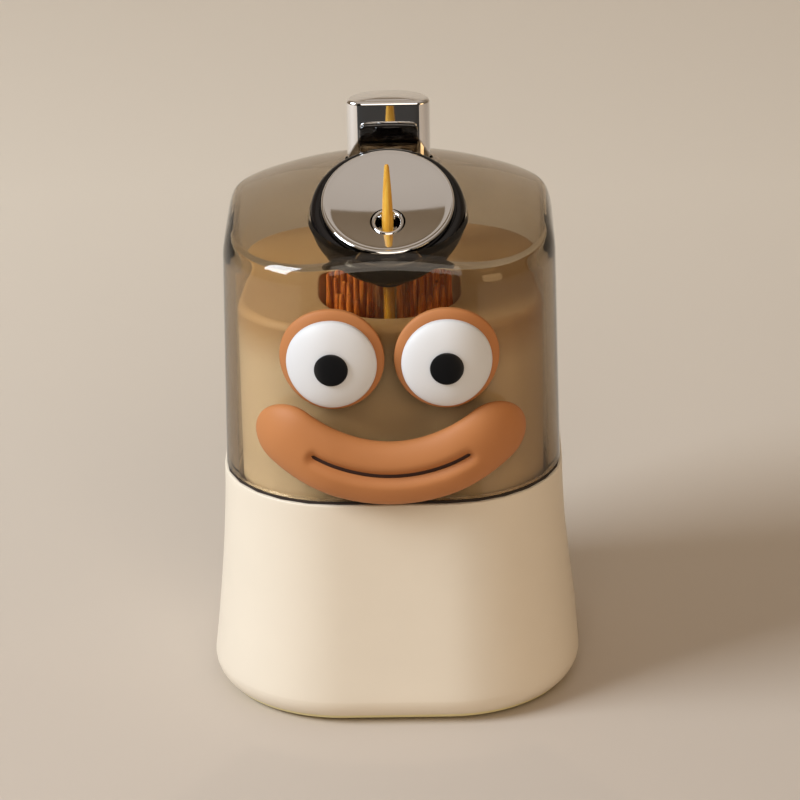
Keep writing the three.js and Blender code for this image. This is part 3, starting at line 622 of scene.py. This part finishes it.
MIRROR_THICKNESS = 1.4 * MM
MIRROR_RIM = 0.8 * MM
MIRROR_HOLLOW = 0.5 * MM
RING_DROP = 0.9 * MM
RING_ROUND = 1.2 * MM
RING_EDGE = 0.2 * MM
FLANK = 3.4 * MM
FLANK_ROUND = 4.3 * MM
DISH_DEPTH = 6.8 * MM
BUSH_WALL = 0.7 * MM
BUSH_LENGTH = 5.6 * MM
BUSH_SINK = 0.1 * MM


def bush_drum():
    reach = 2 * DISH_DEPTH
    return drum(half_width("hole_bush") + FIT, DISH_HEIGHT - reach, DISH_HEIGHT + reach, PICK_Y)


def make_dish():
    radius = half_width("dish_body")
    seat_radius = half_width("mirror_plate") + FIT
    seat_level = DISH_HEIGHT - MIRROR_THICKNESS - SEAT
    ring = DISH_HEIGHT - RING_DROP
    profile = [(0, seat_level), (seat_radius, seat_level), (seat_radius, ring - RING_EDGE),
               (seat_radius + RING_EDGE, ring)]
    profile += arc(radius - RING_ROUND, ring - RING_ROUND, RING_ROUND, RING_ROUND, pi / 2, 0, 8)
    profile += arc(radius - FLANK_ROUND, DISH_HEIGHT - FLANK, FLANK_ROUND, DISH_DEPTH - FLANK, 0, -pi / 2, 12)
    profile += [(0, DISH_HEIGHT - DISH_DEPTH)]
    body = slant(make_round("dish_cradle", profile, DISH_PLACE))
    cut(body, [bush_drum()])
    return place(body, "cover_set", BLACK, "black_plastic", "dish_body")


def make_mirror():
    radius = half_width("mirror_plate")
    back = DISH_HEIGHT - MIRROR_THICKNESS
    profile = [(0, DISH_HEIGHT - MIRROR_HOLLOW)]
    steps = 12
    for i in range(1, steps + 1):
        share = i / steps
        profile.append(((radius - MIRROR_RIM) * share, DISH_HEIGHT - MIRROR_HOLLOW * (1 - share ** 2)))
    bead = MIRROR_RIM / 2
    profile += arc(radius - bead, DISH_HEIGHT - bead, bead, bead, pi * 0.6, 0, 10)
    profile += [(radius, back), (0, back)]
    plate = slant(make_round("mirror_dish", profile, DISH_PLACE))
    cut(plate, [bush_drum()])
    return place(plate, "cover_set", CHROME, "chrome", "mirror_plate")


def make_bush():
    outer = half_width("hole_bush")
    inner = outer - BUSH_WALL
    face = DISH_HEIGHT - MIRROR_HOLLOW
    bottom = face - BUSH_LENGTH
    crown = arc((outer + inner) / 2, face - BUSH_SINK, BUSH_WALL / 2, BUSH_WALL / 2, 0, pi, 10)
    bush = slant(make_round("hole_ring", [(inner, bottom), (outer, bottom)] + crown, PICK_Y, closed=True))
    return place(bush, "cover_set", CHROME, "chrome", "hole_bush")


# Knob and what hangs on it

KNOB_CROWN = 0.5 * MM
KNOB_EDGE = 0.8 * MM
KNOB_LIP = 0.25 * MM
KNOB_WALL = 1.4 * MM
KNOB_ROOF = 1.6 * MM
SOCKET_LENGTH = 7 * MM


def make_knob():
    top = high("knob").z
    bottom = low("knob").z
    rim_height = top - KNOB_CROWN
    profile = [(-KNOB_LIP, bottom), (0, bottom + KNOB_LIP)]
    profile += arc(-KNOB_EDGE, rim_height - KNOB_EDGE, KNOB_EDGE, KNOB_EDGE, 0, pi / 2, 12)
    rings = [[(0, KNOB_MIDDLE, bottom)]] + [arch_ring(grow, z, KNOB_ROUND) for grow, z in profile]
    rim = rings[-1]
    steps = 16
    for i in range(1, steps):
        share = 1 - i / steps
        rings.append([(x * share, KNOB_MIDDLE + (y - KNOB_MIDDLE) * share, top - KNOB_CROWN * share ** 2)
                      for x, y, _ in rim])
    rings.append([(0, KNOB_MIDDLE, top)])
    knob = make("press_knob", *skin(rings))
    stem_top = high("knob_stem").z
    hole = half_width("knob_stem") + FIT
    hollow = arch_rod(-KNOB_WALL, bottom - OVERRUN, rim_height - KNOB_ROOF)
    cut(hollow, [drum(hole + KNOB_WALL, stem_top - SOCKET_LENGTH, top, STEM_Y)])
    cut(knob, [hollow, drum(hole, bottom - OVERRUN, stem_top + SEAT, STEM_Y)])
    return place(knob, "carriage", CHROME, "chrome", "knob")


def make_tube():
    outer = half_width("guide_tube")
    inner = outer - TUBE_WALL
    edge = TUBE_WALL / 4
    bottom, top = low("guide_tube").z, high("guide_tube").z
    profile = [(inner, bottom + edge), (inner + edge, bottom), (outer - edge, bottom), (outer, bottom + edge),
               (outer, top - edge), (outer - edge, top), (inner + edge, top), (inner, top - edge)]
    tube = make_round("pick_tube", profile, middle("guide_tube").y, closed=True)
    return place(tube, "carriage", CLEAR, "clear_plastic", "guide_tube")


# Toothpicks

PICK_RADIUS = 1.05 * MM
PICK_LENGTH = 65 * MM
PICK_TAPER = 12 * MM
PICK_TIP = 0.45 * MM
PICK_NOSE = 0.4 * MM
PICK_CHAMFER = 0.05 * MM
PICK_PITCH = 2.55 * MM
PICK_SINK = 0.5 * MM
PICK_LEAN = 0.35 * MM
ARM_LANE = 1.5 * MM


def stick_profile(bottom):
    top = bottom + PICK_LENGTH
    end = [(0, 0), (PICK_TIP * 0.7, PICK_CHAMFER), (PICK_TIP, PICK_NOSE)]
    grow, length, steps = PICK_RADIUS - PICK_TIP, PICK_TAPER - PICK_NOSE, 6
    taper = [(PICK_TIP + grow * sin(pi / 2 * i / steps), PICK_NOSE + length * i / steps)
             for i in range(1, steps + 1)]
    lower = [(r, bottom + z) for r, z in end + taper]
    upper = [(r, top - z) for r, z in reversed(end + taper)]
    return lower + upper


def make_bundle():
    sleeve = half_width("feed_sleeve")
    reach = half_width("well_floor")
    bottom = high("well_floor").z + SEAT
    verts, faces = [], []
    count = 0
    for row in range(-7, 8):
        for column in range(-7, 8):
            x = (column + (abs(row) % 2) / 2) * PICK_PITCH
            y = WELL_Y + row * PICK_PITCH * sin(pi / 3)
            inside = hypot(x, y - WELL_Y) < reach - PICK_RADIUS
            clear = hypot(x, y - PICK_Y) > sleeve + PICK_RADIUS + FIT
            if not (inside and clear and (abs(x) > ARM_LANE + PICK_RADIUS or y < PICK_Y)):
                continue
            sunk = PICK_SINK * ((count * 3) % 5)
            dx, dy = PICK_LEAN * sin(count * 2.4), PICK_LEAN * cos(count * 1.7)
            rings = []
            for radius, z in stick_profile(bottom):
                share = (z - bottom) / PICK_LENGTH - 0.5
                cx, cy = x + dx * share, y + dy * share
                rings.append(circle_ring(radius, z - sunk * max(share, 0) * 2, cy, cx, 12))
            new_verts, new_faces = skin(rings)
            offset = len(verts)
            verts.extend(new_verts)
            faces.extend(tuple(i + offset for i in face) for face in new_faces)
            count += 1
    bundle = make("toothpicks", verts, faces)
    return place(bundle, "base", SHADED_BAMBOO, "bamboo", "toothpick_bundle")


def make_dispensed():
    stick = make_round("served_toothpick", stick_profile(low("dispensed_toothpick").z), PICK_Y, steps=24)
    return place(stick, "toothpick", BAMBOO, "bamboo", "dispensed_toothpick")


# Face on the cover's front

def front_y(x, z):
    share = (z - COVER_BOTTOM) / (SHOULDER - COVER_BOTTOM)
    half = COVER_HALF - DRAFT * share
    flat = half - corner_radius(half)
    past = max(abs(x) - flat, 0)
    return AXIS_Y - flat - sqrt(corner_radius(half) ** 2 - past ** 2)


def on_cover(points):
    return [(x, front_y(x, z) - out, z) for x, z, out in points]


def dome(name, node, body_from, depth, edge_share, material, slot):
    centre = middle(node)
    radius = half_width(node)

    # A disc of this share of the radius, laid on the cover and raised by this much
    def disc(share, out):
        return on_cover([(centre.x + u * share, centre.z + v * share, out)
                         for u, v, _ in circle_ring(radius, 0, steps=72)])

    rings = [disc(share, body_from) for share in (0.001, 0.3, 0.6, 0.85, 0.97)]
    edge = depth * edge_share
    steps = 10
    for i in range(steps + 1):
        a = pi / 2 * i / steps
        rings.append(disc(0.985 + 0.015 * sin(a), body_from + edge * (1 - cos(a))))
    crown = 18
    for i in range(1, crown):
        a = pi / 2 * i / crown
        rings.append(disc(cos(a), body_from + edge + (depth - edge) * sin(a) ** 1.15))
    rings.append(disc(0.001, body_from + depth))
    piece = make(name, *skin([[rings[0][0]]] + rings + [[rings[-1][0]]]), 60)
    return place(piece, "cover_set", material, slot, node)


SMILE_HEIGHT = COVER_BOTTOM + 11 * MM
SMILE_SPREAD = 19.5 * MM
SMILE_SAG = 7 * MM
SMILE_HALF = 6.4 * MM
SMILE_DEPTH = 6.2 * MM
LINE_SPREAD = 15.5 * MM
LINE_DEPTH = 1.8 * MM
CREASE_REACH = 1.0 * MM
LINE_SINK = 1.35 * MM
LINE_HALF = 0.45 * MM
RIM_DEPTH = 2.6 * MM
EYE_DEPTH = 3.6 * MM
PUPIL_DEPTH = 0.49 * MM
FACE_ANGLE = 70


def smile_height(x):
    return SMILE_HEIGHT - SMILE_SAG / 2 + SMILE_SAG * (x / SMILE_SPREAD) ** 2


def roll(spread, half_thick, start, end, crease=0.0, steps=90, sides=48):
    rings = []

    def section(x, shift, size):
        slope = 2 * SMILE_SAG * x / SMILE_SPREAD ** 2
        length = sqrt(1 + slope ** 2)
        ahead, climb = 1 / length, slope / length
        px, pz = x + ahead * shift, smile_height(x) + climb * shift
        ring = []
        for k in range(sides):
            a = 2 * pi * k / sides
            across = half_thick * size * cos(a)
            out = (start + end) / 2 + (end - start) / 2 * size * sin(a)
            if crease and sin(a) > 0:
                along = abs(x + shift) / LINE_SPREAD
                fade = max(0.0, min(1.0, (1.06 - along) / 0.12))
                fade = fade * fade * (3 - 2 * fade)
                out -= crease * fade * exp(-(across / CREASE_REACH) ** 2)
            ring.append((px - across * climb, pz + across * ahead, out))
        return on_cover(ring)

    caps = 12
    for i in range(1, caps):
        a = pi / 2 * i / caps
        rings.append(section(-spread, -half_thick * cos(a), sin(a)))
    rings += [section(-spread + 2 * spread * i / steps, 0, 1) for i in range(steps + 1)]
    for i in range(caps - 1, 0, -1):
        a = pi / 2 * i / caps
        rings.append(section(spread, half_thick * cos(a), sin(a)))
    tips = [section(-spread, -half_thick, 0)[0]], [section(spread, half_thick, 0)[0]]
    return skin([tips[0]] + rings + [tips[1]])


def make_face():
    lips = make("smile_roll", *roll(SMILE_SPREAD, SMILE_HALF, FIT, FIT + SMILE_DEPTH, LINE_DEPTH), FACE_ANGLE)
    place(lips, "cover_set", ORANGE, "orange_brown", "smile")
    front = FIT + SMILE_DEPTH
    crease = roll(LINE_SPREAD, LINE_HALF, front - LINE_DEPTH + SEAT, front - LINE_SINK, 0, 70, 16)
    line = make("smile_crease", *crease, FACE_ANGLE)
    place(line, "cover_set", DARK, "dark_brown", "smile_line")
    for side in ("left", "right"):
        ball = FIT + RIM_DEPTH + SEAT
        dome("eye_surround_" + side, "eye_rim_" + side, FIT, RIM_DEPTH, 0.45, ORANGE, "orange_brown")
        dome("eye_ball_" + side, "eye_" + side, ball, EYE_DEPTH, 0.3, WHITE, "eye_white")
        dot = ball + EYE_DEPTH + SEAT
        dome("eye_dot_" + side, "pupil_" + side, dot, PUPIL_DEPTH, 0.3, PUPIL, "pupil_black")


# Feet and the nodes that keep their solids

def make_feet():
    for node in FEET:
        radius = half_width(node)
        bottom, top = low(node).z, high(node).z
        edge = 0.3 * MM
        profile = [(0, bottom)] + arc(radius - edge, bottom + edge, edge, edge, -pi / 2, 0, 6)
        profile += [(radius, top), (0, top)]
        centre = middle(node)
        pad = make_round(node.replace("foot", "pad"), profile, centre.y, centre.x)
        place(pad, "base", RUBBER, "rubber", node)


def dress_nodes():
    for node, material in {
        "ballast_plate": STEEL, "well_floor": CUP_CREAM, "cover_seal": SEAL_AND_GAP_SHADE,
        "stem_bushing": BLACK, "carriage_arm": BLACK, "knob_stem": STEEL, "stem_clip": STEEL,
        "pick_gripper": SILICONE, "return_spring": STEEL, "feed_sleeve": CLEAR,
        **{screw: STEEL for screw in SCREWS},
    }.items():
        finish_node(node, material)


make_base()
make_bottom()
make_cup()
make_cover()
make_dish()
make_mirror()
make_bush()
make_knob()
make_tube()
make_bundle()
make_dispensed()
make_face()
make_feet()
dress_nodes()


# Studio

FLOOR_COLOUR = (0.56, 0.488, 0.415)
WALL_COLOUR = (0.75, 0.675, 0.575)
FLOOR_REACH = 3.0
BEND_START = 0.55
BEND_RADIUS = 0.35
WALL_TOP = 2.35
SCREEN_NEAR = 0.05
SCREEN_FAR = 1.4
SCREEN_TOP = 2.0
SCREEN_LIFT = 0.0005
SCREEN_TURN = radians(34)


def make_studio():
    world = bpy.data.worlds.new("studio")
    world.use_nodes = True
    tree = world.node_tree
    background = tree.nodes["Background"]
    background.inputs["Strength"].default_value = 1.0
    # A room that is lighter overhead than at its sides
    direction = tree.nodes.new("ShaderNodeTexCoord")
    parts = tree.nodes.new("ShaderNodeSeparateXYZ")
    tree.links.new(direction.outputs["Generated"], parts.inputs["Vector"])
    shade = ramp(tree, parts.outputs["Z"], [(0.0, (0.16, 0.115, 0.07)), (0.55, (0.19, 0.145, 0.10)),
                                            (0.8, (0.26, 0.21, 0.165)), (0.95, (0.50, 0.43, 0.365))])
    tree.links.new(shade, background.inputs["Color"])
    bpy.context.scene.world = world
    line = [(-FLOOR_REACH, 0)] + arc(BEND_START, BEND_RADIUS, BEND_RADIUS, BEND_RADIUS, -pi / 2, 0, 12)
    line += [(BEND_START + BEND_RADIUS, WALL_TOP)]
    verts = [(side * FLOOR_REACH, y, z) for y, z in line for side in (-1, 1)]
    faces = [(2 * i, 2 * i + 1, 2 * i + 3, 2 * i + 2) for i in range(len(line) - 1)]
    floor = bpy.data.objects.new("floor", bpy.data.meshes.new("floor"))
    floor.data.from_pydata(verts, [], faces)
    floor.data.update()
    floor.data.shade_smooth()
    bpy.context.scene.collection.objects.link(floor)
    material, tree, shader = node_material("floor_paint")
    vector = coordinates(tree)
    place_at = tree.nodes.new("ShaderNodeSeparateXYZ")
    tree.links.new(vector, place_at.inputs["Vector"])
    reach = tree.nodes.new("ShaderNodeMath")
    reach.operation = "MULTIPLY_ADD"
    reach.inputs[1].default_value = 0.04
    tree.links.new(noise(tree, vector, 4.0), reach.inputs[0])
    tree.links.new(place_at.outputs["Y"], reach.inputs[2])
    tree.links.new(ramp(tree, reach.outputs["Value"], [(0.0, FLOOR_COLOUR), (0.3, WALL_COLOUR)]),
                   shader.inputs["Base Color"])
    shader_values(shader, Roughness=0.7)
    floor.data.materials.append(material)


def make_screen():
    """A dark screen round the front, which only bright and glassy surfaces mirror."""
    screen = bpy.data.objects.new("screen", bpy.data.meshes.new("screen"))
    steps = 24
    turns = [SCREEN_TURN * (2 * i / steps - 1) for i in range(steps + 1)]
    line = [(SCREEN_NEAR, SCREEN_LIFT), (SCREEN_FAR, SCREEN_LIFT), (SCREEN_FAR, SCREEN_TOP)]
    verts = [(reach * sin(a), -reach * cos(a), z) for reach, z in line for a in turns]
    count = steps + 1
    faces = [(r * count + i, r * count + i + 1, (r + 1) * count + i + 1, (r + 1) * count + i)
             for r in range(2) for i in range(steps)]
    screen.data.from_pydata(verts, [], faces)
    screen.data.update()
    bpy.context.scene.collection.objects.link(screen)
    screen.data.materials.append(moulded("screen_black", (0.007, 0.006, 0.005), 0.8))
    screen.visible_camera = False
    screen.visible_diffuse = False
    screen.visible_transmission = False
    screen.visible_volume_scatter = False
    screen.visible_shadow = False


def lamp(name, place_at, power, size, colour):
    light = bpy.data.lights.new(name, "AREA")
    light.energy = power
    light.size = size
    light.color = colour
    obj = bpy.data.objects.new(name, light)
    obj.location = place_at
    aim = Vector((0, 0, TARGET_HEIGHT)) - Vector(place_at)
    obj.rotation_euler = aim.to_track_quat("-Z", "Y").to_euler()
    bpy.context.scene.collection.objects.link(obj)


def make_lights():
    lamp("key", (-0.85, -0.35, 0.75), 14.0, 0.5, (0.845, 0.92, 1.0))
    lamp("fill", (0.1, -0.95, 0.75), 3.2, 0.7, (1.0, 0.88, 0.74))
    lamp("bounce", (1.35, -1.1, 0.27), 2.9, 0.6, (1.0, 0.67, 0.33))


def make_camera():
    data = bpy.data.cameras.new("camera")
    camera = bpy.data.objects.new("camera", data)
    bpy.context.scene.collection.objects.link(camera)
    e, a = radians(VIEW_ELEVATION), radians(VIEW_AZIMUTH)
    back = Vector((sin(a) * cos(e), -cos(a) * cos(e), sin(e)))
    target = Vector((0, AXIS_Y, TARGET_HEIGHT))
    rotation = back.to_track_quat("Z", "Y").to_matrix() @ Matrix.Rotation(radians(-VIEW_ROLL), 3, "Z")
    camera.matrix_world = Matrix.Translation(target + back * VIEW_DISTANCE) @ rotation.to_4x4()
    data.sensor_width = SENSOR_WIDTH
    data.lens = PIXELS_PER_METRE * VIEW_DISTANCE / IMAGE_SIZE * SENSOR_WIDTH
    data.shift_x = (IMAGE_SIZE / 2 - TARGET_PIXEL[0]) / IMAGE_SIZE
    data.shift_y = (TARGET_PIXEL[1] - IMAGE_SIZE / 2) / IMAGE_SIZE
    data.clip_start = 0.01
    bpy.context.scene.camera = camera


make_studio()
make_screen()
make_lights()
make_camera()
bpy.context.scene.view_settings.view_transform = "Standard"
